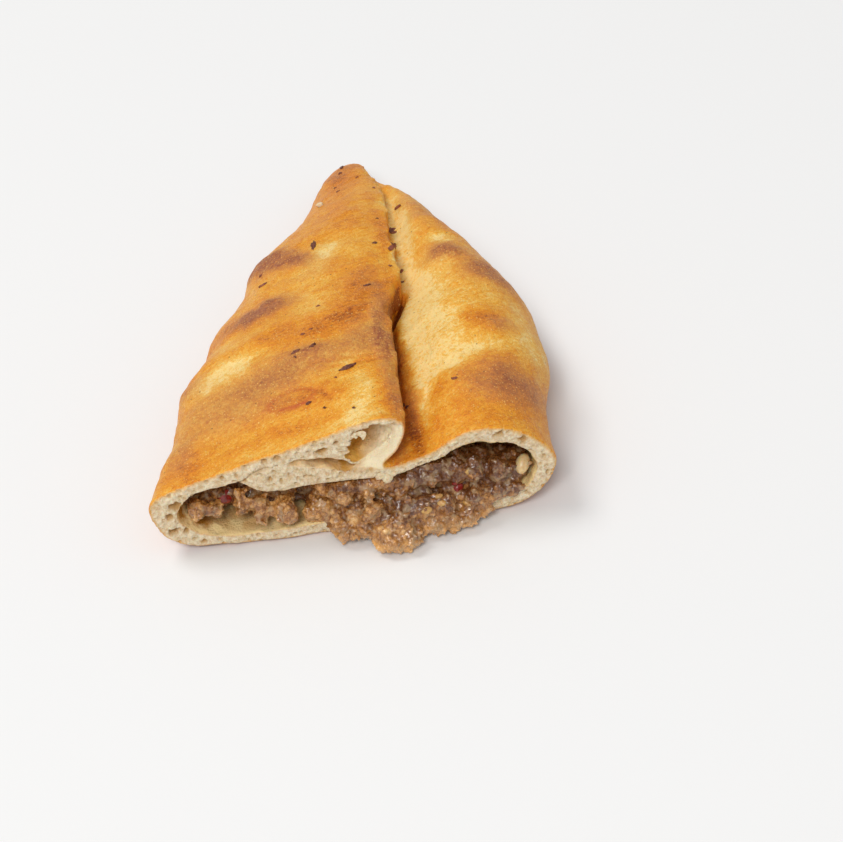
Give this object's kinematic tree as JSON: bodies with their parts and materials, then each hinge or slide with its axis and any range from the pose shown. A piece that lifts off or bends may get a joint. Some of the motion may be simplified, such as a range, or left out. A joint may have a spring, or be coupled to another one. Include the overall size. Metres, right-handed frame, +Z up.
{
  "type": "manakish",
  "caption": "Cut half of a folded, meat-filled manakish: a pointed, browned flatbread that rests on its flat underside, with minced meat spilling from the cut.",
  "frame": {"origin": "on the floor in the flat of the base, 80 mm behind the plane of the cut", "axes": "+Y from the cut to the point of the bread, +Z up, +X to the right as seen facing the cut"},
  "size_m": [0.1257, 0.1868, 0.0415],
  "materials": {
    "baked_crust": "golden brown baked crust, toasted on the ridges, pale bread crumb where it is cut",
    "minced_meat": "cooked minced meat, brown and moist, with bits of onion and pepper"
  },
  "bodies": {
    "root": {"bread": "baked_crust", "meat_filling": "minced_meat"}
  },
  "joints": []
}
